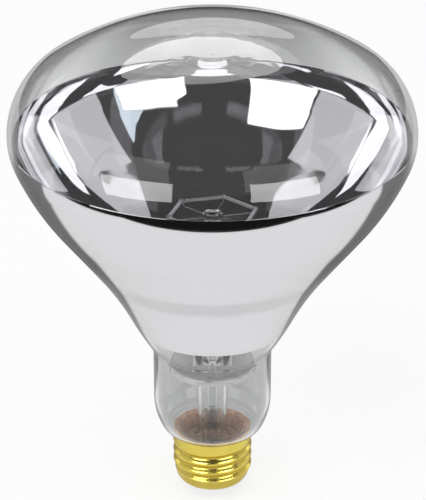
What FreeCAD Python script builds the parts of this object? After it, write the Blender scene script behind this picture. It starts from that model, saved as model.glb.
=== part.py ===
import FreeCAD, Part
import math
import os
from FreeCAD import Vector

# Infrared heat lamp bulb, cap down and face up.
# Sizes are in millimetres and degrees. Heights are measured up the axis from the centre contact.

# Glass bulb
bulb_diameter = 127.0
face_height = 36.2
glass_wall = 1.2
rim_radius = 26.0
shoulder_radius = 20.0
shoulder_angle = 22.0
flank_radius = 88.0
cone_angle = 37.5
waist_radius = 115.0
waist_angle = 26.5
bowl_radius = 110.0
bowl_angle = 34.0

# Neck and the glass tail that enters the cap
neck_diameter = 38.8
neck_length = 17.9
neck_fillet = 2.0
neck_curve_radius = 21.0
neck_curve_angle = 28.0
tail_fillet = 1.4
tail_flat = 0.6
tail_length = 6.0
lip_gap = 0.9

# Reflector film
film_thickness = 0.1
film_clearance = 0.05
film_below_widest = 2.8
film_above_neck = 9.4

# Stem, pressed flat at its top
stem_diameter = 10.0
stem_wall = 1.0
press_start = 44.0
press_taper = 7.0
press_width = 12.4
press_thickness = 4.6
press_height = 15.0
press_top_radius = 1.0
exhaust_diameter = 4.0
exhaust_wall = 0.7
exhaust_tip_height = 12.0
exhaust_port_radius = 0.9

# Filament and what carries it
filament_height = 100.0
filament_corner_radius = 14.5
filament_coil_diameter = 1.2
filament_bend_radius = 1.6
filament_first_corner = 15.0
filament_corner_step = 60.0
support_count = 4
support_diameter = 0.45
hook_clearance = 0.04
hook_bend_share = 0.9
arbor_diameter = 4.0
button_diameter = 7.0
button_height = 4.0
button_edge_radius = 1.2
support_drop = 1.4

# Wires
lead_diameter = 0.9
lead_spacing = 12.0
lead_foot_spacing = 6.4
lead_forward = 3.5
lead_foot_height = 4.0
lead_sway_height = 8.0
lead_bend_radius = 2.0
seal_wire_diameter = 0.6
outer_lead_diameter = 0.45
outer_lead_clearance = 0.06
centre_lead_slant = 3.0
side_lead_drop = 2.0

# Heat shield
shield_diameter = 28.6
shield_thickness = 0.4
shield_rim_depth = 1.7
shield_bend_radius = 0.9
shield_slot_clearance = 0.25
tongue_width = 3.2
tongue_length = 5.0

# Screw cap
thread_diameter = 26.4
thread_root_diameter = 24.7
thread_pitch = 3.629
thread_height = 11.9
front_valley_drop = 1.8
skirt_height = 3.3
shell_wall = 0.3
shell_foot_height = 7.0
shell_foot_radius = 3.6
shell_foot_angle = 62.0
shell_foot_flat = 0.8

# Insulator, contact, cement and solder
insulator_clearance = 0.02
insulator_rise = 2.0
insulator_hole_radius = 1.8
insulator_edge = 0.3
lead_entry_depth = 1.0
contact_diameter = 9.6
contact_thickness = 0.7
contact_edge_radius = 0.3
contact_hole_radius = 1.5
cement_drop = 4.1
cement_bore_radius = 7.0
cement_bead = 0.45
cement_clearance = 0.03
solder_radius = 1.3

# How finely the rolled thread is drawn
thread_rows = 36
thread_azimuth_step = 10
thread_join_tolerance = 0.001

axis = Vector(0, 0, 1)
origin = Vector(0, 0, 0)
bulb_radius = bulb_diameter / 2
neck_radius = neck_diameter / 2
stem_radius = stem_diameter / 2
thread_radius = thread_diameter / 2
thread_root_radius = thread_root_diameter / 2
thread_depth = thread_radius - thread_root_radius
cap_bore_radius = thread_root_radius - shell_wall
thread_top = shell_foot_height + thread_height
thread_end = thread_top + thread_pitch / 4
cap_height = thread_top + skirt_height
insulator_top = shell_foot_height + insulator_rise
tail_radius = cap_bore_radius - outer_lead_diameter - 2 * outer_lead_clearance
neck_foot = cap_height + lip_gap
tail_end = neck_foot - tail_length
cement_foot = tail_end - cement_drop
press_end = press_start + press_taper + press_height
coil_radius = filament_coil_diameter / 2


# A line drawn in the plane through the axis. It starts at a radius and a height, with a heading
# in degrees: 0 is straight down, and more turns toward the axis. Each curve is tangent to what it
# follows, so a parallel line differs only in its radii.
class Outline:

    def __init__(self, radius, height, heading):
        self.radius = radius
        self.height = height
        self.heading = heading
        self.edges = []

    def point(self):
        return Vector(self.radius, 0, self.height)

    def run(self, length):
        start = self.point()
        angle = math.radians(self.heading)
        self.radius -= length * math.sin(angle)
        self.height -= length * math.cos(angle)
        self.edges.append(Part.makeLine(start, self.point()))

    def turn(self, bend_radius, new_heading):
        start = self.point()
        self.curve_part(bend_radius, (self.heading + new_heading) / 2)
        middle = self.point()
        self.curve_part(bend_radius, new_heading)
        self.edges.append(Part.Arc(start, middle, self.point()).toShape())

    def curve_part(self, bend_radius, new_heading):
        before = math.radians(self.heading)
        after = math.radians(new_heading)
        reach = math.copysign(bend_radius, after - before)
        self.radius -= reach * (math.cos(before) - math.cos(after))
        self.height -= reach * (math.sin(after) - math.sin(before))
        self.heading = new_heading


def revolve(edges):
    face = Part.Face(Part.Wire(edges))
    return face.revolve(origin, axis, 360)


# Closes an outline that starts on the axis and ends beside it, then turns it into a solid.
def revolve_to_axis(edges):
    ordered = Part.Wire(edges).OrderedVertexes
    top = ordered[0].Point
    foot = ordered[-1].Point
    foot_on_axis = Vector(0, 0, foot.z)
    return revolve(edges + [Part.makeLine(foot, foot_on_axis), Part.makeLine(foot_on_axis, top)])


# A wall between two parallel outlines, closed by a rim at each end.
def revolve_wall(outside, inside):
    foot_rim = Part.makeLine(outside.point(), inside.point())
    top_rim = Part.makeLine(outside.edges[0].Vertexes[0].Point, inside.edges[0].Vertexes[0].Point)
    return revolve(Part.sortEdges(outside.edges + inside.edges + [foot_rim, top_rim])[0])


def polygon_solid(points):
    corners = [Vector(r, 0, z) for r, z in points]
    return revolve(Part.makePolygon(corners + corners[:1]).Edges)


def cylinder(radius, low, high, x=0, y=0):
    return Part.makeCylinder(radius, high - low, Vector(x, y, low), axis)


def at_azimuth(angle, radius, height):
    turn = math.radians(angle)
    return Vector(radius * math.cos(turn), radius * math.sin(turn), height)


# A round wire along straight runs, with an arc at each corner between them.
def bent_wire(points, diameter, bend_radius):
    edges = []
    start = points[0]
    for before, corner, after in zip(points, points[1:], points[2:]):
        back = (before - corner).normalize()
        ahead = (after - corner).normalize()
        half_angle = back.getAngle(ahead) / 2
        trim = bend_radius / math.tan(half_angle)
        bisector = (back + ahead).normalize()
        centre = corner + bisector * (bend_radius / math.sin(half_angle))
        enter = corner + back * trim
        leave = corner + ahead * trim
        edges.append(Part.makeLine(start, enter))
        edges.append(Part.Arc(enter, centre - bisector * bend_radius, leave).toShape())
        start = leave
    edges.append(Part.makeLine(start, points[-1]))
    path = Part.Wire(edges)
    first_run = points[1] - points[0]
    section = Part.Wire(Part.makeCircle(diameter / 2, points[0], first_run))
    return path.makePipeShell([section], True, True)


# The face is a sphere that meets the rim's arc with one slope.
def face_radius():
    rim_centre = bulb_radius - rim_radius
    return (rim_centre ** 2 + face_height ** 2 - rim_radius ** 2) / (2 * (face_height - rim_radius))


def draw_to_neck(inset, top, cone_length):
    sphere = face_radius()
    face_edge = math.degrees(math.asin((bulb_radius - rim_radius) / (sphere - rim_radius)))
    line = Outline(0, top - inset, -90)
    line.turn(sphere - inset, face_edge - 90)
    line.turn(rim_radius - inset, 0)
    line.turn(shoulder_radius - inset, shoulder_angle)
    line.turn(flank_radius - inset, cone_angle)
    if cone_length > 0:
        line.run(cone_length)
    line.turn(waist_radius + inset, waist_angle)
    line.turn(bowl_radius - inset, bowl_angle)
    line.turn(neck_fillet + inset, 0)
    return line


# The straight part of the cone takes up what is left between the widest ring and the neck.
def cone_length():
    spare = draw_to_neck(0, 0, 0).radius - neck_radius
    return spare / math.sin(math.radians(cone_angle))


# The neck curves in twice to the tail: this is the second, tighter radius.
def neck_under_radius():
    curve_angle = math.radians(neck_curve_angle)
    curve_inward = neck_curve_radius * (1 - math.cos(curve_angle))
    under_inward = neck_radius - curve_inward - tail_radius - tail_fillet - tail_flat
    return under_inward / math.cos(curve_angle)


def neck_top():
    lean = math.sin(math.radians(neck_curve_angle))
    curve_drop = neck_curve_radius * lean + neck_under_radius() * (1 - lean)
    return neck_foot + curve_drop + neck_length


def overall_length():
    return neck_top() - draw_to_neck(0, 0, cone_length()).height


def widest_height():
    return overall_length() - face_height


# The whole wall of the bulb, from the middle of the face down to the end of the tail.
def bulb_outline(inset):
    line = draw_to_neck(inset, overall_length(), cone_length())
    line.run(neck_length)
    line.turn(neck_curve_radius - inset, neck_curve_angle)
    line.turn(neck_under_radius() - inset, 90)
    line.run(tail_flat)
    line.turn(tail_fillet + inset, 0)
    line.run(tail_length - tail_fillet)
    return line.edges


def make_glass_bulb():
    return revolve_to_axis(bulb_outline(0)).cut(revolve_to_axis(bulb_outline(glass_wall)))


def make_reflector_film():
    outer_inset = glass_wall + film_clearance
    outer = revolve_to_axis(bulb_outline(outer_inset))
    inner = revolve_to_axis(bulb_outline(outer_inset + film_thickness))
    low = neck_top() + film_above_neck
    high = widest_height() - film_below_widest
    return outer.cut(inner).common(cylinder(bulb_radius, low, high))


# Half the stem's thickness at a height in the tapered stretch below the press.
def press_half_thickness(height):
    share = (height - press_start) / press_taper
    return stem_radius + (press_thickness / 2 - stem_radius) * share


# The foot of the stem flares out in a quarter round and is fused to the end of the bulb's tail.
def make_stem_tube():
    flare_radius = tail_radius - glass_wall - stem_radius
    sides = []
    for inset in (0, stem_wall):
        side = Outline(stem_radius - inset, press_start, 0)
        side.run(press_start - tail_end - flare_radius)
        side.turn(flare_radius + inset, -90)
        side.run(glass_wall)
        sides.append(side)
    return revolve_wall(*sides)


# Round seen along Y, flattened seen along X.
def make_press():
    half_width = press_width / 2
    taper_end = press_start + press_taper
    round_body = polygon_solid([
        (0, press_start), (stem_radius, press_start), (half_width, taper_end),
        (half_width, press_end - press_top_radius), (half_width - press_top_radius, press_end),
        (0, press_end)])
    half_thick = press_thickness / 2
    side = [
        (-stem_radius, press_start), (-half_thick, taper_end), (-half_thick, press_end),
        (half_thick, press_end), (half_thick, taper_end), (stem_radius, press_start)]
    corners = [Vector(-press_width, y, z) for y, z in side]
    wedge = Part.Face(Part.makePolygon(corners + corners[:1])).extrude(Vector(2 * press_width, 0, 0))
    return round_body.common(wedge)


def make_stem():
    stem = make_stem_tube().fuse(make_press())
    for side in (-1, 1):
        seal_x = side * lead_foot_spacing / 2
        stem = stem.cut(cylinder(seal_wire_diameter / 2, press_start, press_end, seal_x))
    bore_top = press_start + press_taper
    bore_radius = exhaust_diameter / 2 - exhaust_wall
    stem = stem.cut(cylinder(bore_radius, press_start, bore_top))
    port_centre = Vector(0, 0, bore_top - bore_radius)
    port = Part.makeCylinder(exhaust_port_radius, stem_radius, port_centre, Vector(0, -1, 0))
    return stem.cut(port).removeSplitter()


def make_exhaust_tube():
    radius = exhaust_diameter / 2
    bore = radius - exhaust_wall
    outside = cylinder(radius, exhaust_tip_height + radius, press_start)
    outside = outside.fuse(Part.makeSphere(radius, Vector(0, 0, exhaust_tip_height + radius)))
    inside = cylinder(bore, exhaust_tip_height + radius, press_start)
    inside = inside.fuse(Part.makeSphere(bore, Vector(0, 0, exhaust_tip_height + radius)))
    return outside.cut(inside).removeSplitter()


def make_arbor():
    button_top = filament_height - support_drop + button_height / 2
    rod = cylinder(arbor_diameter / 2, press_end, button_top)
    button = cylinder(button_diameter / 2, button_top - button_height, button_top)
    rims = [edge for edge in button.Edges if edge.isClosed()]
    return rod.fuse(button.makeFillet(button_edge_radius, rims)).removeSplitter()


def corner_angles():
    return [filament_first_corner + i * filament_corner_step for i in range(support_count)]


# The coil's two ends lie one step beyond its first and last supports.
def coil_end_angles():
    corners = corner_angles()
    return corners[0] - filament_corner_step, corners[-1] + filament_corner_step


def make_filament():
    right_end, left_end = coil_end_angles()
    angles = [right_end] + corner_angles() + [left_end]
    route = [at_azimuth(angle, filament_corner_radius, filament_height) for angle in angles]
    return bent_wire(route, filament_coil_diameter, filament_bend_radius)


# Each support leaves the button level, rises beside the coil and hooks over it.
def make_support(angle):
    hook_radius = (filament_coil_diameter + support_diameter) / 2 + hook_clearance
    corner_cut = filament_bend_radius * (1 / math.cos(math.radians(filament_corner_step / 2)) - 1)
    coil_centre = filament_corner_radius - corner_cut
    level = filament_height - support_drop
    hook_top = filament_height + hook_radius
    route = [
        at_azimuth(angle, button_diameter / 2, level),
        at_azimuth(angle, coil_centre - hook_radius, level),
        at_azimuth(angle, coil_centre - hook_radius, hook_top),
        at_azimuth(angle, coil_centre + hook_radius, hook_top),
        at_azimuth(angle, coil_centre + hook_radius, filament_height - coil_radius)]
    return bent_wire(route, support_diameter, hook_bend_share * hook_radius)


def make_inner_lead(side):
    foot = Vector(side * lead_foot_spacing / 2, 0, press_end)
    sway_start = press_end + lead_foot_height
    right_end, left_end = coil_end_angles()
    end_angle = right_end if side > 0 else left_end
    level = filament_height - coil_radius - lead_diameter / 2 - hook_clearance
    post_x = side * lead_spacing / 2
    route = [
        foot,
        Vector(foot.x, 0, sway_start),
        Vector(post_x, -lead_forward, sway_start + lead_sway_height),
        Vector(post_x, -lead_forward, level),
        at_azimuth(end_angle, filament_corner_radius + coil_radius, level)]
    return bent_wire(route, lead_diameter, lead_bend_radius)


def make_seal_wire(side):
    return cylinder(seal_wire_diameter / 2, press_start, press_end, side * lead_foot_spacing / 2)


# From the seal wire down through the cap's insulator to the solder in the centre contact.
def make_centre_lead():
    x = lead_foot_spacing / 2
    entry = insulator_top - lead_entry_depth
    route = [
        Vector(x, 0, press_start),
        Vector(x, 0, entry + centre_lead_slant),
        Vector(0, 0, entry),
        Vector(0, 0, contact_thickness)]
    return bent_wire(route, outer_lead_diameter, lead_bend_radius / 2)


def side_lead_radius():
    return tail_radius + outer_lead_diameter / 2 + outer_lead_clearance


# From the seal wire out under the flare, up beside the tail and over the cap's lip at the back.
def make_side_lead():
    x = -lead_foot_spacing / 2
    under = tail_end - side_lead_drop
    lane = side_lead_radius()
    skirt_lane = thread_radius - shell_wall - outer_lead_diameter / 2 - outer_lead_clearance
    over_lip = cap_height + lip_gap / 2
    route = [
        Vector(x, 0, press_start),
        Vector(x, 0, under),
        Vector(0, lane, under),
        Vector(0, lane, thread_top),
        Vector(0, skirt_lane, over_lip),
        Vector(0, thread_radius + solder_radius / 2, over_lip)]
    return bent_wire(route, outer_lead_diameter, outer_lead_diameter)


# The disc drops over the press and stops where the tapered stem fills its slot.
def shield_height():
    slot_half = press_half_thickness(press_start + press_taper / 2)
    return press_start + press_taper / 2, slot_half


def make_heat_shield():
    height, slot_half = shield_height()
    top = height + shield_thickness
    sides = []
    for inset in (0, shield_thickness):
        side = Outline(0, top - inset, -90)
        side.run(shield_diameter / 2 - shield_bend_radius)
        side.turn(shield_bend_radius - inset, 0)
        side.run(shield_thickness + shield_rim_depth - shield_bend_radius)
        sides.append(side)
    disc = revolve_wall(*sides)
    slot_end = press_width / 2 + shield_slot_clearance
    slot = Part.makeBox(2 * slot_end, 2 * slot_half, 4 * shield_thickness)
    slot.translate(Vector(-slot_end, -slot_half, height - shield_thickness))
    shield = disc.cut(slot)
    for side in (0, 180):
        tongue = Part.makeBox(shield_thickness, tongue_width, tongue_length)
        tongue.translate(Vector(slot_end, -tongue_width / 2, top - tongue_length))
        tongue.rotate(origin, axis, side)
        shield = shield.fuse(tongue)
    return shield.removeSplitter()


def smooth_step(value):
    share = max(0.0, min(1.0, value))
    return share * share * (3 - 2 * share)


# The rolled thread: how far the wall is pressed in from the crest, at a height and an azimuth.
def thread_inward(height, azimuth):
    turns = (azimuth + 90) / 360
    phase = (height - thread_top + front_valley_drop) / thread_pitch - turns
    valley = (1 + math.cos(2 * math.pi * phase)) / 2
    run_out = smooth_step((thread_end - height) / (thread_pitch / 2))
    foot = smooth_step((shell_foot_height + thread_pitch / 2 - height) / (thread_pitch / 2))
    return thread_depth * (valley * run_out * (1 - foot) + foot)


# Below the thread the wall turns in to hold the insulator.
def foot_outline(inset):
    line = Outline(thread_root_radius - inset, shell_foot_height, 0)
    line.turn(shell_foot_radius - inset, shell_foot_angle)
    line.run(shell_foot_flat)
    return line


def make_shell_foot():
    return revolve_wall(foot_outline(0), foot_outline(shell_wall))


# One side of the threaded wall, as rows of points round the axis.
def thread_side(inset):
    azimuths = range(0, 361, thread_azimuth_step)
    rows = []
    for i in range(thread_rows + 1):
        height = thread_end + (shell_foot_height - thread_end) * i / thread_rows
        rows.append([
            at_azimuth(azimuth, thread_radius - inset - thread_inward(height, azimuth), height)
            for azimuth in azimuths])
    surface = Part.BSplineSurface()
    surface.interpolate(rows)
    return surface.toShape()


def end_rims(side):
    rims = [edge for edge in side.Edges if edge.isClosed()]
    return sorted(rims, key=lambda edge: edge.CenterOfMass.z)


def make_threaded_wall():
    outside = thread_side(0)
    inside = thread_side(shell_wall)
    ends = [Part.makeRuledSurface(outer, inner) for outer, inner in zip(end_rims(outside), end_rims(inside))]
    wall = Part.Solid(Part.Shell([outside, inside] + ends))
    if wall.Volume < 0:
        wall.reverse()
    return wall


# One thin brass pressing: plain skirt, rolled thread and turned-in foot.
def make_cap_shell():
    bore = thread_radius - shell_wall
    skirt = polygon_solid([
        (bore, thread_end), (thread_radius, thread_end), (thread_radius, cap_height), (bore, cap_height)])
    return make_threaded_wall().fuse([skirt, make_shell_foot()], thread_join_tolerance).Solids[0]


# Black glass moulded into the shell's foot, coned down to the contact.
def make_insulator():
    side = foot_outline(shell_wall + insulator_clearance)
    side_radius = thread_root_radius - shell_wall - insulator_clearance
    seat_radius = contact_diameter / 2 + contact_edge_radius
    body_points = [
        side.point(), Vector(side.radius - insulator_edge, 0, side.height - insulator_edge),
        Vector(seat_radius, 0, contact_thickness), Vector(insulator_hole_radius, 0, contact_thickness),
        Vector(insulator_hole_radius, 0, insulator_top), Vector(side_radius, 0, insulator_top),
        Vector(side_radius, 0, shell_foot_height)]
    return revolve(side.edges + Part.makePolygon(body_points).Edges)


def make_contact():
    radius = contact_diameter / 2
    disc = cylinder(radius, 0, contact_thickness)
    low_rim = [edge for edge in disc.Edges if edge.isClosed() and edge.CenterOfMass.z < contact_thickness / 2]
    disc = disc.makeFillet(contact_edge_radius, low_rim)
    return disc.cut(cylinder(contact_hole_radius, 0, contact_thickness))


# Solder fills the eyelet flush with the contact, round the lead's end.
def make_contact_solder():
    solder = cylinder(contact_hole_radius, 0, contact_thickness)
    dome = Part.makeSphere(contact_hole_radius, Vector(0, 0, contact_thickness))
    above = cylinder(contact_hole_radius, contact_thickness, 2 * contact_thickness)
    return solder.fuse(dome.common(above)).cut(make_centre_lead()).removeSplitter()


# Cement fills the ring between the cap and the glass tail and stands in a bead on the lip.
def make_cement():
    ring_radius = cap_bore_radius - cement_clearance
    skirt_bore = thread_radius - shell_wall - cement_clearance
    step = thread_end + thread_pitch / 4
    bead_top = cap_height + cement_bead
    ring = polygon_solid([
        (cement_bore_radius, cement_foot), (ring_radius, cement_foot), (ring_radius, step),
        (skirt_bore, step), (skirt_bore, cap_height),
        (thread_radius - shell_wall / 2, cap_height), (skirt_bore, bead_top),
        (tail_radius, bead_top), (tail_radius, tail_end), (tail_radius, tail_end - stem_wall),
        (cement_bore_radius, tail_end - stem_wall)])
    bulb_body = revolve_to_axis(bulb_outline(0))
    return ring.cut(bulb_body).cut(make_side_lead())


def make_lip_solder():
    centre = Vector(0, thread_radius, cap_height)
    ball = Part.makeSphere(solder_radius, centre)
    outside = cylinder(thread_radius + 2 * solder_radius, 0, cap_height + lip_gap / 2)
    outside = outside.cut(cylinder(thread_radius, 0, cap_height))
    blob = ball.common(outside)
    return blob.cut(make_side_lead()).cut(make_glass_bulb()).cut(make_cement())


def save(name, shape):
    shape.exportStep("parts/" + name + ".step")


pieces = {
    "glass_bulb": make_glass_bulb(),
    "reflector_film": make_reflector_film(),
    "stem": make_stem(),
    "exhaust_tube": make_exhaust_tube(),
    "arbor": make_arbor(),
    "filament": make_filament(),
    "inner_lead_left": make_inner_lead(-1),
    "inner_lead_right": make_inner_lead(1),
    "seal_wire_left": make_seal_wire(-1),
    "seal_wire_right": make_seal_wire(1),
    "centre_lead": make_centre_lead(),
    "side_lead": make_side_lead(),
    "heat_shield": make_heat_shield(),
    "cap_shell": make_cap_shell(),
    "cap_insulator": make_insulator(),
    "centre_contact": make_contact(),
    "contact_solder": make_contact_solder(),
    "lip_solder": make_lip_solder(),
    "basing_cement": make_cement(),
}
for number, angle in enumerate(corner_angles(), 1):
    pieces["support_wire_" + str(number)] = make_support(angle)

os.makedirs("parts", exist_ok=True)
for name, shape in pieces.items():
    save(name, shape)
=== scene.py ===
import bmesh
import bpy
import math
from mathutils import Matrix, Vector


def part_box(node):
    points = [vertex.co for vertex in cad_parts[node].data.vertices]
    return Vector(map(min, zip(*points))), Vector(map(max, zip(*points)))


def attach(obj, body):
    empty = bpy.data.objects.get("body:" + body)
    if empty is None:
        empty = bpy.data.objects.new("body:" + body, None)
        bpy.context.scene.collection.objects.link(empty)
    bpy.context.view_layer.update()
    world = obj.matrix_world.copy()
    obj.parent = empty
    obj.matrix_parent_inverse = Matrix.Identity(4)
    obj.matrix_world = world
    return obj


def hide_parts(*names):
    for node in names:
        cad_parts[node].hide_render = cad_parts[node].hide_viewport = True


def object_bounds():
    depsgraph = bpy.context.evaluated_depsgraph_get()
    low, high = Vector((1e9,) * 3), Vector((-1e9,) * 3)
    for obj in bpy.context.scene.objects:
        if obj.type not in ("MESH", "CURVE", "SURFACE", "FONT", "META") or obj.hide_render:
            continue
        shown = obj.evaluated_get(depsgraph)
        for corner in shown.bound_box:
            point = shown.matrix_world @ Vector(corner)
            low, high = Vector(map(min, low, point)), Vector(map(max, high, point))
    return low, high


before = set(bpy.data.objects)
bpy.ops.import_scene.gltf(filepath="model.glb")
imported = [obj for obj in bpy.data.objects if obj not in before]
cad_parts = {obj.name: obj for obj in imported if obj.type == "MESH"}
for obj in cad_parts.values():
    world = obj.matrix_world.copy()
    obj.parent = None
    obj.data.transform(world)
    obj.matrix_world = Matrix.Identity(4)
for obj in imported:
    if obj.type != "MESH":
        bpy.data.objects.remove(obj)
cadLow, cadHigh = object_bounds()
mm = 0.001
print("frame loaded")


# Wraps a node socket, so that sums and products on it add their own Math nodes
class Wire:

    def __init__(self, tree, socket=None):
        self.tree = tree
        self.socket = socket

    # Any node: its settings are set first, then its sockets get values or links
    def node(self, kind, settings=None, sockets=None, out=0):
        made = self.tree.nodes.new(kind)
        for name, value in (settings or {}).items():
            setattr(made, name, value)
        for name, value in (sockets or {}).items():
            if isinstance(value, Wire):
                self.tree.links.new(value.socket, made.inputs[name])
            else:
                made.inputs[name].default_value = value
        return Wire(self.tree, made.outputs[out]) if len(made.outputs) else None

    def other(self, out):
        return Wire(self.tree, self.socket.node.outputs[out])

    def split(self):
        x = self.node("ShaderNodeSeparateXYZ", None, {0: self})
        return x, x.other(1), x.other(2)

    def maths(self, operation, first, second=0.0):
        if "VECTOR" in [part.socket.type for part in (first, second) if isinstance(part, Wire)]:
            return self.node("ShaderNodeVectorMath", {"operation": operation}, {0: first, 1: second})
        return self.node("ShaderNodeMath", {"operation": operation}, {0: first, 1: second})

    # A Math operation that has no sign in Python
    def apply(self, operation, second=0.0):
        return self.maths(operation, self, second)

    def __add__(self, value):
        return self.maths("ADD", self, value)

    def __radd__(self, value):
        return self.maths("ADD", value, self)

    def __sub__(self, value):
        return self.maths("SUBTRACT", self, value)

    def __rsub__(self, value):
        return self.maths("SUBTRACT", value, self)

    def __mul__(self, value):
        return self.maths("MULTIPLY", self, value)

    def __rmul__(self, value):
        return self.maths("MULTIPLY", value, self)

    def __truediv__(self, value):
        return self.maths("DIVIDE", self, value)

    def __rtruediv__(self, value):
        return self.maths("DIVIDE", value, self)

    def scaled(self, share):
        return self.node("ShaderNodeVectorMath", {"operation": "SCALE"}, {0: self, 3: share})

    # Colour between two colours, by this value
    def tint(self, low, high):
        return self.node("ShaderNodeMix", {"data_type": "RGBA"}, {0: self, 6: low, 7: high}, out=2)

    # This value moved smoothly from one span to another, with its ends held
    def span(self, low, high, newLow=0.0, newHigh=1.0):
        sockets = {0: self, 1: low, 2: high, 3: newLow, 4: newHigh}
        return self.node("ShaderNodeMapRange", {"interpolation_type": "SMOOTHSTEP"}, sockets)


def rgb(red, green, blue):
    return (red, green, blue, 1.0)


def grey(tone):
    return (tone, tone, tone, 1.0)


def newMaterial(name):
    material = bpy.data.materials.new(name)
    material.use_nodes = True
    tree = material.node_tree
    tree.nodes.clear()
    place = Wire(tree).node("ShaderNodeTexCoord", out="Object")
    return material, place


def endMaterial(place, sockets):
    shader = place.node("ShaderNodeBsdfPrincipled", None, sockets)
    place.node("ShaderNodeOutputMaterial", None, {"Surface": shader})


# A stage material that glows with its own tone
def endGlow(place, tone):
    glow = place.node("ShaderNodeEmission", None, {"Color": tone, "Strength": 1.0})
    place.node("ShaderNodeOutputMaterial", None, {"Surface": glow})


def noise(place, scale, detail=3.0, roughness=0.5):
    sockets = {"Vector": place, "Scale": scale, "Detail": detail, "Roughness": roughness}
    return place.node("ShaderNodeTexNoise", None, sockets)


# Most of a noise lies between these
narrowNoise = (0.35, 0.65)
wideNoise = (0.3, 0.7)


def bump(height, values):
    sockets = {"Strength": values["bumpStrength"], "Distance": values["bumpDepth"], "Height": height}
    return height.node("ShaderNodeBump", None, sockets)


# Distance from the lamp's axis
def fromAxis(x, y):
    return (x * x + y * y).apply("SQRT")


# Clear soda-lime glass, faintly uneven from blowing, with shallow rings pressed into its face
clearGlass = {
    "tone": rgb(0.985, 0.99, 0.992), "ior": 1.5, "swirlScale": 45.0,
    "rippleShift": (0.0, 0.018, 0.0), "ripplePitch": 0.0042, "rippleReach": 0.026, "rippleWaver": 0.004,
    "rippleShare": 0.5, "faceHeight": 0.150, "faceEdge": 0.004, "bumpStrength": 0.3, "bumpDepth": 0.00002}


def makeGlassMaterial(name, values):
    material, place = newMaterial(name)
    swirl = noise(place, values["swirlScale"], detail=1.0)
    x, y, z = (place + values["rippleShift"]).split()
    reach = fromAxis(x, y) + swirl * values["rippleWaver"]
    wave = (reach * (2 * math.pi / values["ripplePitch"])).apply("SINE")
    onFace = z.span(values["faceHeight"] - values["faceEdge"], values["faceHeight"] + values["faceEdge"])
    ripple = wave * onFace * reach.span(values["rippleReach"], values["rippleReach"] / 2)
    endMaterial(place, {
        "Base Color": values["tone"], "Roughness": 0.0, "IOR": values["ior"], "Transmission Weight": 1.0,
        "Normal": bump(swirl + ripple * values["rippleShare"], values)})
    return material


# Aluminium film, with painted shade in a darker band round its waist and faint level streaks
filmFinish = {
    "tone": rgb(0.93, 0.915, 0.94), "shadeAndTarnishTone": rgb(0.72, 0.71, 0.73), "bandLow": 0.0825, "bandHigh": 0.0890,
    "bandEdge": 0.0015, "bandWaver": 0.004, "bandShare": 0.8,
    "streakScale": 30.0, "streakSquash": (1.0, 1.0, 14.0), "streakShare": 0.15,
    "smooth": 0.02, "rough": 0.045, "bumpStrength": 0.2, "bumpDepth": 0.00001}


def makeFilmMaterial(name, values):
    material, place = newMaterial(name)
    streak = noise(place * values["streakSquash"], values["streakScale"])
    height = place.split()[2] + (streak - 0.5) * values["bandWaver"]
    edge = values["bandEdge"]
    band = height.span(values["bandLow"] - edge, values["bandLow"] + edge)
    band = band * height.span(values["bandHigh"] + edge, values["bandHigh"] - edge)
    # Painted shade darkens a band round the waist; the streaks add the film's own uneven tone
    waistShadeAndStreaks = band * values["bandShare"] + (streak - 0.5) * values["streakShare"]
    endMaterial(place, {
        "Base Color": waistShadeAndStreaks.tint(values["tone"], values["shadeAndTarnishTone"]), "Metallic": 1.0,
        "Roughness": streak.span(*narrowNoise, values["smooth"], values["rough"]),
        "Normal": bump(streak, values)})
    return material


# Plain metals: a tone and how far it wanders, how metallic it looks, a roughness and a fine grain
metalFinishes = {
    "tungsten": {
        "tone": (0.60, 0.60, 0.62), "wander": 0.10, "metal": 0.5, "roughness": 0.38, "grain": 2200.0},
    "nickel": {
        "tone": (0.62, 0.61, 0.59), "wander": 0.08, "metal": 1.0, "roughness": 0.28, "grain": 900.0},
    "molybdenum": {
        "tone": (0.50, 0.51, 0.53), "wander": 0.08, "metal": 1.0, "roughness": 0.32, "grain": 1500.0},
    "shieldMetal": {
        "tone": (0.60, 0.59, 0.59), "wander": 0.06, "metal": 0.75, "roughness": 0.32, "grain": 500.0},
    "contactBrass": {
        "tone": (0.80, 0.62, 0.24), "wander": 0.10, "metal": 1.0, "roughness": 0.30, "grain": 600.0},
    "solderMetal": {
        "tone": (0.58, 0.58, 0.60), "wander": 0.12, "metal": 1.0, "roughness": 0.42, "grain": 900.0}}
metalSurface = {"smoother": 0.06, "rougher": 0.08, "bumpStrength": 0.25, "bumpDepth": 0.00002}


def makeMetalMaterial(name, values):
    material, place = newMaterial(name)
    grain = noise(place, values["grain"], detail=4.0)
    low = [part * (1 - values["wander"]) for part in values["tone"]]
    high = [part * (1 + values["wander"]) for part in values["tone"]]
    smooth = values["roughness"] - metalSurface["smoother"]
    rough = values["roughness"] + metalSurface["rougher"]
    endMaterial(place, {
        "Base Color": grain.tint(rgb(*low), rgb(*high)), "Metallic": values["metal"],
        "Roughness": grain.span(*wideNoise, smooth, rough), "Normal": bump(grain, metalSurface)})
    return material


# Rolled brass: bright on the crests, darkened and browned in the valleys by painted shade and some patina,
# with faint tarnish
capFinish = {
    "bright": rgb(0.93, 0.76, 0.15), "shadeAndTarnishTone": rgb(0.66, 0.50, 0.07), "valley": rgb(0.42, 0.29, 0.05),
    "crestRadius": 0.0131, "valleyRadius": 0.01238, "valleyShare": 0.45, "valleyWaver": 0.0003,
    "blotchScale": 140.0, "blotchLow": 0.40, "blotchHigh": 0.70, "tarnishShare": 0.55,
    "roughness": 0.20, "tarnishRoughness": 0.25, "grain": 2600.0,
    "bumpStrength": 0.15, "bumpDepth": 0.00001}


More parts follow.
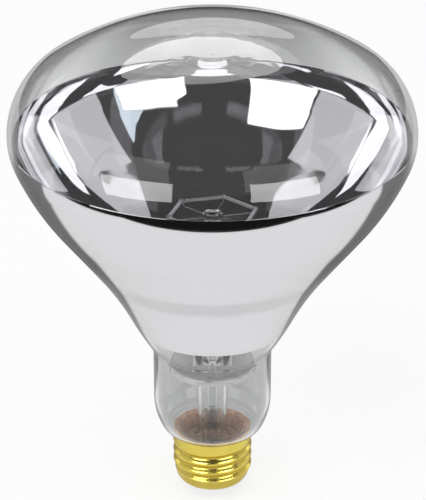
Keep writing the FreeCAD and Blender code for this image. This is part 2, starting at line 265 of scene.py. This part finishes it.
def makeBrassMaterial(name, values):
    material, place = newMaterial(name)
    blotch = noise(place, values["blotchScale"], detail=5.0, roughness=0.6)
    grain = noise(place, values["grain"], detail=2.0)
    tarnish = blotch.span(values["blotchLow"], values["blotchHigh"], 0.0, values["tarnishShare"])
    x, y, z = place.split()
    radius = fromAxis(x, y) + (blotch - 0.5) * values["valleyWaver"]
    # Painted shade, with some patina, darkens the brass towards the thread valleys
    valley = radius.span(values["crestRadius"], values["valleyRadius"], 0.0, values["valleyShare"])
    tone = valley.tint(tarnish.tint(values["bright"], values["shadeAndTarnishTone"]), values["valley"])
    endMaterial(place, {
        "Base Color": tone, "Metallic": 1.0,
        "Roughness": tarnish * values["tarnishRoughness"] + values["roughness"],
        "Normal": bump(grain, values)})
    return material


# The cap's black glass, glossy and a little wavy
blackGlassFinish = {
    "tone": rgb(0.012, 0.012, 0.014), "ior": 1.55, "rippleScale": 300.0, "smooth": 0.08, "rough": 0.2,
    "bumpStrength": 0.3, "bumpDepth": 0.0001}


def makeBlackGlassMaterial(name, values):
    material, place = newMaterial(name)
    ripple = noise(place, values["rippleScale"], detail=2.0)
    endMaterial(place, {
        "Base Color": values["tone"], "IOR": values["ior"],
        "Roughness": ripple.span(*wideNoise, values["smooth"], values["rough"]),
        "Normal": bump(ripple, values)})
    return material


# Baked basing cement, cloudy brown and grainy
cementFinish = {
    "pale": rgb(0.56, 0.33, 0.21), "dark": rgb(0.30, 0.16, 0.10), "cloudScale": 220.0, "cloudShare": 0.6,
    "grain": 900.0, "grainShare": 0.4, "roughness": 0.85, "bumpStrength": 0.5, "bumpDepth": 0.0003}


def makeCementMaterial(name, values):
    material, place = newMaterial(name)
    cloud = noise(place, values["cloudScale"], detail=6.0, roughness=0.65)
    grain = noise(place, values["grain"], detail=5.0, roughness=0.7)
    mixed = (cloud * values["cloudShare"] + grain * values["grainShare"]).span(*narrowNoise)
    endMaterial(place, {
        "Base Color": mixed.tint(values["dark"], values["pale"]), "Roughness": values["roughness"],
        "Normal": bump(grain, values)})
    return material


glassMaterial = makeGlassMaterial("clearGlass", clearGlass)
filmMaterial = makeFilmMaterial("reflectorFilm", filmFinish)
metalMaterials = {name: makeMetalMaterial(name, values) for name, values in metalFinishes.items()}
brassMaterial = makeBrassMaterial("capBrass", capFinish)
blackGlassMaterial = makeBlackGlassMaterial("blackGlass", blackGlassFinish)
cementMaterial = makeCementMaterial("basingCement", cementFinish)
print("materials made")


# A line in the plane through the axis, as in the part's drawing: straight runs and tangent arcs.
# A heading of 0 is straight down, and more turns toward the axis.
class Outline:

    def __init__(self, radius, height, heading):
        self.radius = radius
        self.height = height
        self.heading = heading
        self.points = [(radius, height)]

    def run(self, length, steps=1):
        angle = math.radians(self.heading)
        for i in range(steps):
            self.radius -= length / steps * math.sin(angle)
            self.height -= length / steps * math.cos(angle)
            self.points.append((self.radius, self.height))

    def turn(self, bendRadius, newHeading, steps):
        before = math.radians(self.heading)
        after = math.radians(newHeading)
        reach = math.copysign(bendRadius, after - before)
        startRadius, startHeight = self.radius, self.height
        for i in range(1, steps + 1):
            angle = before + (after - before) * i / steps
            self.radius = startRadius - reach * (math.cos(before) - math.cos(angle))
            self.height = startHeight - reach * (math.sin(angle) - math.sin(before))
            self.points.append((self.radius, self.height))
        self.heading = newHeading


# The glass bulb's wall, in millimetres and degrees, and how finely each stretch of it is divided
bulbShape = {
    "wall": 1.2, "faceHeight": 36.2, "rimRadius": 26.0, "shoulderRadius": 20.0, "shoulderAngle": 22.0,
    "flankRadius": 88.0, "coneAngle": 37.5, "waistRadius": 115.0, "waistAngle": 26.5,
    "bowlRadius": 110.0, "bowlAngle": 34.0, "neckRadius": 19.4, "neckFillet": 2.0, "neckLength": 17.9,
    "neckCurve": 21.0, "neckCurveAngle": 28.0, "tailRadius": 11.48, "tailFillet": 1.4, "tailFlat": 0.6,
    "tailLength": 6.0, "segments": 224}
bulbSteps = {
    "face": 26, "rim": 30, "shoulder": 10, "flank": 12, "cone": 6, "waist": 12, "bowl": 8,
    "neckFillet": 8, "neck": 6, "neckCurve": 10, "underNeck": 12, "tailFillet": 8, "tail": 3}
bulbTop = cadHigh.z / mm
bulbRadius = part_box("glass_bulb")[1].x / mm


# The face is part of a ball, as large as makes it meet the rim's arc without a corner
def drawToNeck(inset, coneLength):
    b = bulbShape
    spare = bulbRadius - b["rimRadius"]
    rise = b["faceHeight"]
    faceRadius = (spare ** 2 + rise ** 2 - b["rimRadius"] ** 2) / (2 * (rise - b["rimRadius"]))
    faceEdge = math.degrees(math.asin(spare / (faceRadius - b["rimRadius"])))
    line = Outline(0, bulbTop - inset, -90)
    line.turn(faceRadius - inset, faceEdge - 90, bulbSteps["face"])
    line.turn(b["rimRadius"] - inset, 0, bulbSteps["rim"])
    line.turn(b["shoulderRadius"] - inset, b["shoulderAngle"], bulbSteps["shoulder"])
    line.turn(b["flankRadius"] - inset, b["coneAngle"], bulbSteps["flank"])
    if coneLength > 0:
        line.run(coneLength, bulbSteps["cone"])
    line.turn(b["waistRadius"] + inset, b["waistAngle"], bulbSteps["waist"])
    line.turn(b["bowlRadius"] - inset, b["bowlAngle"], bulbSteps["bowl"])
    line.turn(b["neckFillet"] + inset, 0, bulbSteps["neckFillet"])
    return line


# The cone is as long as brings the line to the neck's radius
def bulbOutline(inset):
    b = bulbShape
    coneLength = (drawToNeck(0, 0).radius - b["neckRadius"]) / math.sin(math.radians(b["coneAngle"]))
    line = drawToNeck(inset, coneLength)
    line.run(b["neckLength"], bulbSteps["neck"])
    curveIn = b["neckCurve"] * (1 - math.cos(math.radians(b["neckCurveAngle"])))
    underIn = b["neckRadius"] - curveIn - b["tailRadius"] - b["tailFillet"] - b["tailFlat"]
    underRadius = underIn / math.cos(math.radians(b["neckCurveAngle"]))
    line.turn(b["neckCurve"] - inset, b["neckCurveAngle"], bulbSteps["neckCurve"])
    line.turn(underRadius - inset, 90, bulbSteps["underNeck"])
    line.run(b["tailFlat"])
    line.turn(b["tailFillet"] + inset, 0, bulbSteps["tailFillet"])
    line.run(b["tailLength"] - b["tailFillet"], bulbSteps["tail"])
    return line.points


# A Geometry Nodes tree with named inputs, each given as its name and its kind
def newTree(name, inputs):
    tree = bpy.data.node_groups.new(name, "GeometryNodeTree")
    for inputName, kind in inputs:
        tree.interface.new_socket(inputName, in_out="INPUT", socket_type="NodeSocket" + kind)
    tree.interface.new_socket("Mesh", in_out="OUTPUT", socket_type="NodeSocketGeometry")
    return Wire(tree).node("NodeGroupInput")


# Turns a row of points round the axis: each column of a grid is a copy of the row at its own azimuth
def makeLatheTree(name, sizes=(), press=None):
    inputs = [("Profile", "Geometry"), ("Segments", "Int"), ("Closed", "Int"), ("Material", "Material")]
    given = newTree(name, inputs + [(size, "Float") for size in sizes])
    segments = given.other("Segments")
    count = given.node("GeometryNodeAttributeDomainSize", {"component": "MESH"}, {0: given})
    rows = count + given.other("Closed")
    grid = given.node("GeometryNodeMeshGrid", None, {2: segments + 1, 3: rows})
    index = given.node("GeometryNodeInputIndex")
    column = (index / rows).apply("FLOOR")
    row = (index - column * rows).apply("MODULO", count)
    position = given.node("GeometryNodeInputPosition")
    sampling = {"data_type": "FLOAT_VECTOR", "domain": "POINT"}
    point = given.node("GeometryNodeSampleIndex", sampling, {0: given, 1: position, 2: row})
    radius, level, height = point.split()
    turns = column / segments
    if press:
        radius = radius - press(height, turns, {size: given.other(size) for size in sizes})
    azimuth = turns * (2 * math.pi)
    east = radius * azimuth.apply("COSINE")
    north = radius * azimuth.apply("SINE")
    place = given.node("ShaderNodeCombineXYZ", None, {0: east, 1: north, 2: height})
    turned = given.node("GeometryNodeSetPosition", None, {0: grid, 2: place})
    outward = given.node("GeometryNodeFlipFaces", None, {0: turned})
    return finishTree(given, outward, given.other("Material"))


meshFinish = {"weldGap": 0.0000002, "sharpAngle": 0.6}  # metres and radians


# Seams and poles are welded, sharp edges stay sharp, and the material is set last
def finishTree(given, mesh, material):
    welded = given.node("GeometryNodeMergeByDistance", None, {0: mesh, 2: meshFinish["weldGap"]})
    angle = given.node("GeometryNodeInputMeshEdgeAngle")
    beyond = {0: angle, 1: meshFinish["sharpAngle"]}
    sharp = given.node("FunctionNodeCompare", {"operation": "GREATER_THAN"}, beyond)
    smooth = given.node("GeometryNodeSetShadeSmooth", {"domain": "FACE"}, {0: welded, 2: True})
    edged = given.node("GeometryNodeSetShadeSmooth", {"domain": "EDGE"}, {0: smooth, 1: sharp, 2: False})
    real = given.node("GeometryNodeRealizeInstances", None, {0: edged})
    painted = given.node("GeometryNodeSetMaterial", None, {0: real, 2: material})
    given.node("NodeGroupOutput", None, {0: painted})
    return given.tree


def profileMesh(name, points, closed=False):
    mesh = bpy.data.meshes.new(name)
    count = len(points)
    edges = [(i, i + 1) for i in range(count - 1)] + ([(count - 1, 0)] if closed else [])
    mesh.from_pydata([(r * mm, 0, z * mm) for r, z in points], edges, [])
    return mesh


# Runs a tree on a mesh of points and edges, and keeps only the plain mesh that comes out
def grown(name, source, tree, values):
    holder = bpy.data.objects.new(name + "Source", source)
    bpy.context.scene.collection.objects.link(holder)
    modifier = holder.modifiers.new("grow", "NODES")
    modifier.node_group = tree
    sockets = {item.name: item.identifier for item in tree.interface.items_tree if item.in_out == "INPUT"}
    for key, value in values.items():
        modifier[sockets[key]] = value
    bpy.context.view_layer.update()
    evaluated = holder.evaluated_get(bpy.context.evaluated_depsgraph_get())
    mesh = bpy.data.meshes.new_from_object(evaluated)
    holder.modifiers.remove(modifier)
    bpy.data.objects.remove(holder)
    mesh.name = name
    piece = bpy.data.objects.new(name, mesh)
    bpy.context.scene.collection.objects.link(piece)
    return piece


def seat(piece, nodeName):
    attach(piece, "root")
    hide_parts(nodeName)
    print("made", piece.name)


latheTree = makeLatheTree("latheTree")


def makeBulb():
    points = bulbOutline(0) + bulbOutline(bulbShape["wall"])[::-1]
    values = {"Segments": bulbShape["segments"], "Closed": 0, "Material": glassMaterial}
    bulb = grown("blownBulb", profileMesh("bulbLine", points), latheTree, values)
    bulb.visible_shadow = False  # soft light reaches what stands inside the clear glass
    seat(bulb, "glass_bulb")


# The film on the flank's inner wall: it is turned a little too high, then cut along its upper edge
filmShape = {"gap": 0.05, "thickness": 0.1, "segments": 224, "backRise": 7.0, "spareRises": 1.5}


def makeFilm():
    low, high = (corner.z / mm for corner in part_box("reflector_film"))
    inset = bulbShape["wall"] + filmShape["gap"]
    raised = high + filmShape["spareRises"] * filmShape["backRise"]
    outside = cutLine(bulbOutline(inset), low, raised)
    inside = cutLine(bulbOutline(inset + filmShape["thickness"]), low, raised)
    values = {"Segments": filmShape["segments"], "Closed": 1, "Material": filmMaterial}
    film = grown("mirrorFilm", profileMesh("filmLine", outside + inside[::-1], True), latheTree, values)
    trimFilm(film.data, high)
    seat(film, "reflector_film")


# The upper edge has the part's own height at the front and rises evenly towards the back
def trimFilm(mesh, frontHeight):
    slope = filmShape["backRise"] / (2 * bulbRadius)
    form = bmesh.new()
    form.from_mesh(mesh)
    everything = form.verts[:] + form.edges[:] + form.faces[:]
    front = (0, -bulbRadius * mm, frontHeight * mm)
    upward = Vector((0, -slope, 1)).normalized()
    cut = bmesh.ops.bisect_plane(form, geom=everything, plane_co=front, plane_no=upward, clear_outer=True)
    rim = [edge for edge in cut["geom_cut"] if isinstance(edge, bmesh.types.BMEdge)]
    bmesh.ops.bridge_loops(form, edges=rim)
    bmesh.ops.recalc_face_normals(form, faces=form.faces[:])
    form.to_mesh(mesh)
    form.free()


# The stretch of a falling line between two heights, with its ends cut exactly there
def cutLine(points, low, high):
    kept = []
    for (r0, z0), (r1, z1) in zip(points, points[1:]):
        for level in (high, low):
            if z1 < level < z0:
                share = (z0 - level) / (z0 - z1)
                kept.append((r0 + (r1 - r0) * share, level))
        if low < z1 < high:
            kept.append((r1, z1))
    return sorted(kept, key=lambda point: -point[1])


# The brass shell: one thin pressing with a plain skirt, a rolled thread and a turned-in foot
shellShape = {
    "radius": 13.2, "wall": 0.3, "footHeight": 7.0, "footRadius": 3.6, "footAngle": 62.0, "footFlat": 0.8,
    "rows": 104, "footRows": 8, "segments": 180}
threadSizes = {
    "Depth": 0.85, "Pitch": 3.629, "Thread Top": 18.9, "Front Valley Drop": 1.8, "Foot Height": 7.0}
frontTurn = 0.75  # the lamp's front, as a share of a turn


# The rolled thread: how far the wall is pressed in, at a height and a share of a turn
def threadPress(height, turns, size):
    drop = height - size["Thread Top"] + size["Front Valley Drop"]
    phase = drop / size["Pitch"] - turns - (1 - frontTurn)
    wave = (phase * (2 * math.pi)).apply("COSINE")
    halfPitch = size["Pitch"] / 2
    runOut = ((size["Thread Top"] + halfPitch / 2 - height) / halfPitch).span(0.0, 1.0)
    foot = ((size["Foot Height"] + halfPitch - height) / halfPitch).span(0.0, 1.0)
    return size["Depth"] * ((wave + 1) / 2 * runOut * (1 - foot) + foot)


# Radii here are those before the thread is pressed in
def shellOutline(inset):
    s = shellShape
    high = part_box("cap_shell")[1].z / mm
    line = Outline(s["radius"] - inset, high, 0)
    line.run(high - s["footHeight"], s["rows"])
    line.turn(s["footRadius"] - inset, s["footAngle"], s["footRows"])
    line.run(s["footFlat"])
    return line.points


def makeShell():
    tree = makeLatheTree("threadTree", list(threadSizes), threadPress)
    points = shellOutline(0) + shellOutline(shellShape["wall"])[::-1]
    values = {"Segments": shellShape["segments"], "Closed": 1, "Material": brassMaterial}
    values.update({name: size * mm for name, size in threadSizes.items()})
    shell = grown("rolledShell", profileMesh("shellLine", points, True), tree, values)
    seat(shell, "cap_shell")


# The filament: a fine coil strung round its corners
coilShape = {
    "height": 100.0, "cornerRadius": 14.5, "firstCorner": -45.0, "cornerStep": 60.0, "corners": 6,
    "bendRadius": 1.6, "bendSteps": 6, "coilRadius": 0.6, "wireRadius": 0.12,
    "turns": 140, "sides": 6, "turnSteps": 12}


def makeCoilTree():
    sizes = [("Bend Radius", "Float"), ("Coil Radius", "Float"), ("Wire Radius", "Float")]
    counts = [("Turns", "Int"), ("Turn Steps", "Int"), ("Sides", "Int")]
    given = newTree("coilTree", [("Route", "Geometry")] + sizes + counts + [("Material", "Material")])
    turns, wire = given.other("Turns"), given.other("Wire Radius")
    route = given.node("GeometryNodeMeshToCurve", None, {0: given})
    rounding = {"Curve": route, "Count": coilShape["bendSteps"], "Radius": given.other("Bend Radius")}
    rounded = given.node("GeometryNodeFilletCurve", {"mode": "POLY"}, rounding)
    spacing = {"Curve": rounded, "Count": turns * given.other("Turn Steps")}
    fine = given.node("GeometryNodeResampleCurve", {"mode": "COUNT"}, spacing)
    angle = given.node("GeometryNodeSplineParameter") * turns * (2 * math.pi)
    ahead = given.node("GeometryNodeInputTangent")
    upward = {0: ahead, 1: (0, 0, 1)}
    aside = given.node("ShaderNodeVectorMath", {"operation": "CROSS_PRODUCT"}, upward)
    reach = given.other("Coil Radius") - wire
    level = aside.scaled(reach * angle.apply("COSINE"))
    upright = given.node("ShaderNodeCombineXYZ", None, {2: reach * angle.apply("SINE")})
    wound = given.node("GeometryNodeSetPosition", None, {"Geometry": fine, "Offset": level + upright})
    section = {"Resolution": given.other("Sides"), "Radius": wire}
    ring = given.node("GeometryNodeCurvePrimitiveCircle", None, section)
    sweep = {"Curve": wound, "Profile Curve": ring, "Fill Caps": True}
    tube = given.node("GeometryNodeCurveToMesh", None, sweep)
    return finishTree(given, tube, given.other("Material"))


def makeFilament():
    c = coilShape
    azimuths = [math.radians(c["firstCorner"] + i * c["cornerStep"]) for i in range(c["corners"])]
    points = [Vector((math.cos(a), math.sin(a), 0)) * c["cornerRadius"] * mm for a in azimuths]
    lifted = [point + Vector((0, 0, c["height"] * mm)) for point in points]
    mesh = bpy.data.meshes.new("coilRoute")
    mesh.from_pydata(lifted, [(i, i + 1) for i in range(c["corners"] - 1)], [])
    values = {
        "Bend Radius": c["bendRadius"] * mm, "Coil Radius": c["coilRadius"] * mm,
        "Wire Radius": c["wireRadius"] * mm, "Turns": c["turns"], "Turn Steps": c["turnSteps"],
        "Sides": c["sides"], "Material": metalMaterials["tungsten"]}
    seat(grown("woundFilament", mesh, makeCoilTree(), values), "filament")


makeBulb()
makeFilm()
makeShell()
makeFilament()


nodeFinishes = {
    "heat_shield": metalMaterials["shieldMetal"], "cap_insulator": blackGlassMaterial,
    "centre_contact": metalMaterials["contactBrass"], "contact_solder": metalMaterials["solderMetal"],
    "lip_solder": metalMaterials["solderMetal"], "basing_cement": cementMaterial}
for name in ("stem", "exhaust_tube", "arbor"):
    nodeFinishes[name] = glassMaterial
for name in ("inner_lead_left", "inner_lead_right", "seal_wire_left", "seal_wire_right"):
    nodeFinishes[name] = metalMaterials["nickel"]
for name in ("centre_lead", "side_lead"):
    nodeFinishes[name] = metalMaterials["nickel"]
for number in range(1, 5):
    nodeFinishes["support_wire_%d" % number] = metalMaterials["molybdenum"]
for name, material in nodeFinishes.items():
    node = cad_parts[name]
    node.data.materials.clear()
    node.data.materials.append(material)
    node.visible_shadow = material is not glassMaterial
print("nodes finished")


# The camera looks down on the lamp from in front
view = {
    "distance": 0.548, "elevation": 25.0, "aimHeight": 0.0877, "lens": 123.2, "sensor": 36.0,
    "shift": 0.0012, "farthest": 50.0}


def makeCamera():
    data = bpy.data.cameras.new("lampCamera")
    data.lens = view["lens"]
    data.sensor_width = view["sensor"]
    data.shift_x = view["shift"]
    data.clip_end = view["farthest"]
    camera = bpy.data.objects.new("lampCamera", data)
    bpy.context.scene.collection.objects.link(camera)
    tilt = math.radians(view["elevation"])
    back = view["distance"] * math.cos(tilt)
    rise = view["distance"] * math.sin(tilt)
    camera.location = (0, -back, view["aimHeight"] + rise)
    camera.rotation_euler = (math.pi / 2 - tilt, 0, 0)
    bpy.context.scene.camera = camera


# What metal and glass see of the room: a dark studio with paper panels and bright soft boxes.
# Corners are azimuth and elevation in degrees, with 0 in front of the lamp and +90 on its right.
# An oval is its middle's azimuth and elevation, half its width and half its height.
studio = {
    "dark": 0.062, "ambient": 0.72, "centre": (0.0, 0.0, 0.12), "domeRadius": 2.4, "layerGap": 0.12,
    "roomRadius": 2.7, "roomColumns": 24, "roomRings": 6, "roomLowest": -4}
studioCards = {
    "paperLeft": {"tone": 0.62, "blue": 0.63, "corners": [
        (-68, -4), (-118, -4), (-118, 24), (-100, 32), (-80, 40), (-68, 43)]},
    "paperRight": {"tone": 0.62, "blue": 0.63, "corners": [
        (74, -4), (118, -4), (118, 24), (100, 32), (84, 39), (74, 42)]},
    "boxFrontLeft": {"tone": 1.5, "layer": 1, "seenBy": "mirror", "corners": [
        (-22, 2), (-66, 2), (-66.5, 31), (-59, 34), (-50, 36.5), (-38, 38), (-26, 38.5), (-25, 28)]},
    "boxFrontRight": {"tone": 1.5, "layer": 1, "seenBy": "mirror", "corners": [
        (61, 2), (17, 2), (17, 28), (24, 30), (24, 32.5), (36, 31), (48, 29.5), (61, 26)]},
    "skyWedge": {"colour": rgb(0.78, 0.90, 0.98), "layer": 1, "corners": [
        (61.2, 26), (48, 29.7), (56, 33), (62, 37.5), (64, 38), (63.5, 22), (61.2, 2)]},
    "boxSideLeft": {"tone": 1.5, "layer": 1, "corners": [
        (-110, -6), (-129, -6), (-128, 8), (-119, 21), (-114, 20), (-111, 10)]},
    "boxSideRight": {"tone": 1.5, "layer": 1, "corners": [
        (129, -6), (110, -6), (111, 10), (114, 20), (119, 21), (128, 8)]},
    "lowBoxLeft": {
        "tone": 8.0, "seenBy": "gloss", "radius": 0.4, "centre": (-0.02, -0.05, 0.135),
        "corners": [(-62, 8), (-19, 12), (-19, -11), (-58, -13)]},
    "lowBoxRight": {
        "tone": 8.0, "seenBy": "gloss", "radius": 0.4, "centre": (0.02, -0.05, 0.135),
        "corners": [(18, 11), (57, 8), (59, -13), (18, -11)]},
    "boxTopBack": {"tone": 1.1, "seenBy": "mirror", "oval": (180, 46, 27, 15)},
    "ceilingOval": {"tone": 3.4, "seenBy": "gloss", "oval": (184, 50, 28, 15)},
    "ceilingLens": {"tone": 1.2, "layer": 1, "seenBy": "gloss", "oval": (180, 25, 15, 8)}}


def domePoint(azimuth, elevation, radius, centre=studio["centre"]):
    turn, rise = math.radians(azimuth), math.radians(elevation)
    level = radius * math.cos(rise)
    offset = (level * math.sin(turn), -level * math.cos(turn), radius * math.sin(rise))
    return Vector(centre) + Vector(offset)


def stagePiece(name, points, faces, material):
    mesh = bpy.data.meshes.new(name)
    mesh.from_pydata(points, [], faces)
    mesh.materials.append(material)
    piece = bpy.data.objects.new(name, mesh)
    bpy.context.scene.collection.objects.link(piece)
    return piece


# Only reflections and the glass see these; they neither light nor shade the lamp
def hideFromLight(piece):
    piece.visible_camera = False
    piece.visible_diffuse = False
    piece.visible_shadow = False


def ovalCorners(azimuth, elevation, halfWidth, halfHeight, count=24):
    turns = [2 * math.pi * i / count for i in range(count)]
    return [
        (azimuth + halfWidth * math.cos(turn), elevation + halfHeight * math.sin(turn)) for turn in turns]


# A card seen by "mirror" shows only through the glass, one seen by "gloss" only in outer reflections
def makeCards():
    for name, values in studioCards.items():
        radius = values.get("radius", studio["domeRadius"] - values.get("layer", 0) * studio["layerGap"])
        centre = values.get("centre", studio["centre"])
        corners = values["corners"] if "corners" in values else ovalCorners(*values["oval"])
        points = [domePoint(azimuth, elevation, radius, centre) for azimuth, elevation in corners]
        material, place = newMaterial(name)
        endGlow(place, cardColour(values))
        card = stagePiece(name, points, [range(len(points))], material)
        hideFromLight(card)
        card.visible_glossy = values.get("seenBy") != "mirror"
        card.visible_transmission = values.get("seenBy") != "gloss"


def cardColour(values):
    if "colour" in values:
        return values["colour"]
    return rgb(values["tone"], values["tone"], values.get("blue", values["tone"]))


# The dark room round the table, as a dome of plain panels
def makeRoom():
    steps, rings = studio["roomColumns"], studio["roomRings"]
    points = [
        domePoint(360 * i / steps, 90 * ring / rings + studio["roomLowest"], studio["roomRadius"])
        for ring in range(rings) for i in range(steps)]
    faces = [
        (ring * steps + i, ring * steps + (i + 1) % steps, (ring + 1) * steps + (i + 1) % steps,
         (ring + 1) * steps + i)
        for ring in range(rings - 1) for i in range(steps)]
    faces.append(range((rings - 1) * steps, rings * steps))
    material, place = newMaterial("darkRoom")
    endGlow(place, bouncedRays(place).tint(grey(studio["dark"]), grey(studio["ambient"])))
    hideFromLight(stagePiece("darkRoom", points, faces, material))


# 1 for light that has already met a matt surface, such as the cement inside the glass
def bouncedRays(place):
    return place.node("ShaderNodeLightPath").other("Diffuse Depth").apply("MINIMUM", 1.0)


# 1 for what metal and glass see
def mirrorRays(lightPath):
    return lightPath.other("Is Glossy Ray").apply("MAXIMUM", lightPath.other("Is Transmission Ray"))


floorTones = {
    "camera": 1.0, "lit": 0.92, "veil": 0.8, "flank": 0.78, "behind": 0.38, "side": 0.19, "far": 0.50,
    "farSide": 0.92, "rim": 0.60, "beyond": 0.008}
# Where the tones change, in metres towards the back. The ones called Across are squares of the
# distance from the middle.
floorPlan = {
    "behind": (0.052, 0.062), "middle": (0.0, 0.03), "middleAcross": (0.0022, 0.0014),
    "sideAcross": (0.0016, 0.006), "sideEnd": (0.30, 0.14), "far": (0.20, 0.30),
    "farAcross": (0.002025, 0.01), "rimAcross": (0.012544, 0.014884), "halfSize": 3.0}
tableEdge = {"front": -0.119, "corner": 0.132, "slant": 0.83, "softness": 0.0015}


# What mirrored rays see of the floor: a pale table with a straight front edge and slanted corners,
# greyer behind the lamp, dark beside that, pale far behind to either side, black beyond its edges
def tableTone(x, y):
    across = x * x
    nearMiddle = across.span(*floorPlan["middleAcross"]) * y.span(*floorPlan["middle"])
    behind = y.span(*floorPlan["behind"]).apply("MAXIMUM", nearMiddle)
    beside = behind * across.span(*floorPlan["sideAcross"]) * y.span(*floorPlan["sideEnd"])
    tone = behind.tint(grey(floorTones["flank"]), grey(floorTones["behind"]))
    tone = beside.tint(tone, grey(floorTones["side"]))
    farTone = across.span(*floorPlan["farAcross"]).tint(grey(floorTones["far"]), grey(floorTones["farSide"]))
    farTone = across.span(*floorPlan["rimAcross"]).tint(farTone, grey(floorTones["rim"]))
    tone = y.span(*floorPlan["far"]).tint(tone, farTone)
    outward = (x.apply("ABSOLUTE") - tableEdge["corner"]).apply("MAXIMUM", 0.0)
    edge = (outward * tableEdge["slant"] + tableEdge["front"]).apply("MINIMUM", 0.0)
    soft = tableEdge["softness"]
    return (y - edge).span(-soft, soft).tint(grey(floorTones["beyond"]), tone)


# The floor is white to the camera, under a veil that lets the lamp's shadow show through
def makeFloor():
    material, place = newMaterial("paleFloor")
    lightPath = place.node("ShaderNodeLightPath")
    x, y, z = place.split()
    lit = place.node("ShaderNodeBsdfDiffuse", None, {"Color": grey(floorTones["lit"])})
    white = place.node("ShaderNodeEmission", None, {"Color": grey(floorTones["camera"])})
    seen = place.node("ShaderNodeEmission", None, {"Color": tableTone(x, y)})
    veil = lightPath.other("Is Camera Ray") * floorTones["veil"]
    veiled = place.node("ShaderNodeMixShader", None, {0: veil, 1: lit, 2: white})
    mirrored = mirrorRays(lightPath) * (1 - bouncedRays(place))
    both = place.node("ShaderNodeMixShader", None, {0: mirrored, 1: veiled, 2: seen})
    place.node("ShaderNodeOutputMaterial", None, {"Surface": both})
    half = floorPlan["halfSize"]
    points = [(-half, -half, 0), (half, -half, 0), (half, half, 0), (-half, half, 0)]
    stagePiece("floor", points, [(0, 1, 2, 3)], material)


# White to the camera and to mirrored rays, and a plain soft light otherwise
def makeWorld():
    world = bpy.data.worlds.new("softStudio")
    bpy.context.scene.world = world
    world.use_nodes = True
    world.node_tree.nodes.clear()
    start = Wire(world.node_tree)
    lightPath = start.node("ShaderNodeLightPath")
    shown = lightPath.other("Is Camera Ray").apply("MAXIMUM", mirrorRays(lightPath))
    colour = shown.tint(grey(studio["ambient"]), grey(1.0))
    background = start.node("ShaderNodeBackground", None, {"Color": colour, "Strength": 1.0})
    start.node("ShaderNodeOutputWorld", None, {"Surface": background})


softLights = {
    "keyLight": {"azimuth": -40, "elevation": 50, "size": 1.2, "power": 9.0},
    "fillLight": {"azimuth": 60, "elevation": 40, "size": 1.4, "power": 5.0}}
lightPlan = {"distance": 1.6, "aim": (0, 0, 0.05)}


def makeLights():
    for name, values in softLights.items():
        data = bpy.data.lights.new(name, "AREA")
        data.size = values["size"]
        data.energy = values["power"]
        light = bpy.data.objects.new(name, data)
        light.location = domePoint(values["azimuth"], values["elevation"], lightPlan["distance"])
        towards = Vector(lightPlan["aim"]) - light.location
        light.rotation_euler = towards.to_track_quat("-Z", "Y").to_euler()
        light.visible_glossy = False
        light.visible_transmission = False
        bpy.context.scene.collection.objects.link(light)


makeCamera()
makeWorld()
makeFloor()
makeRoom()
makeCards()
makeLights()
print("studio set")
bpy.context.scene.view_settings.view_transform = "Standard"
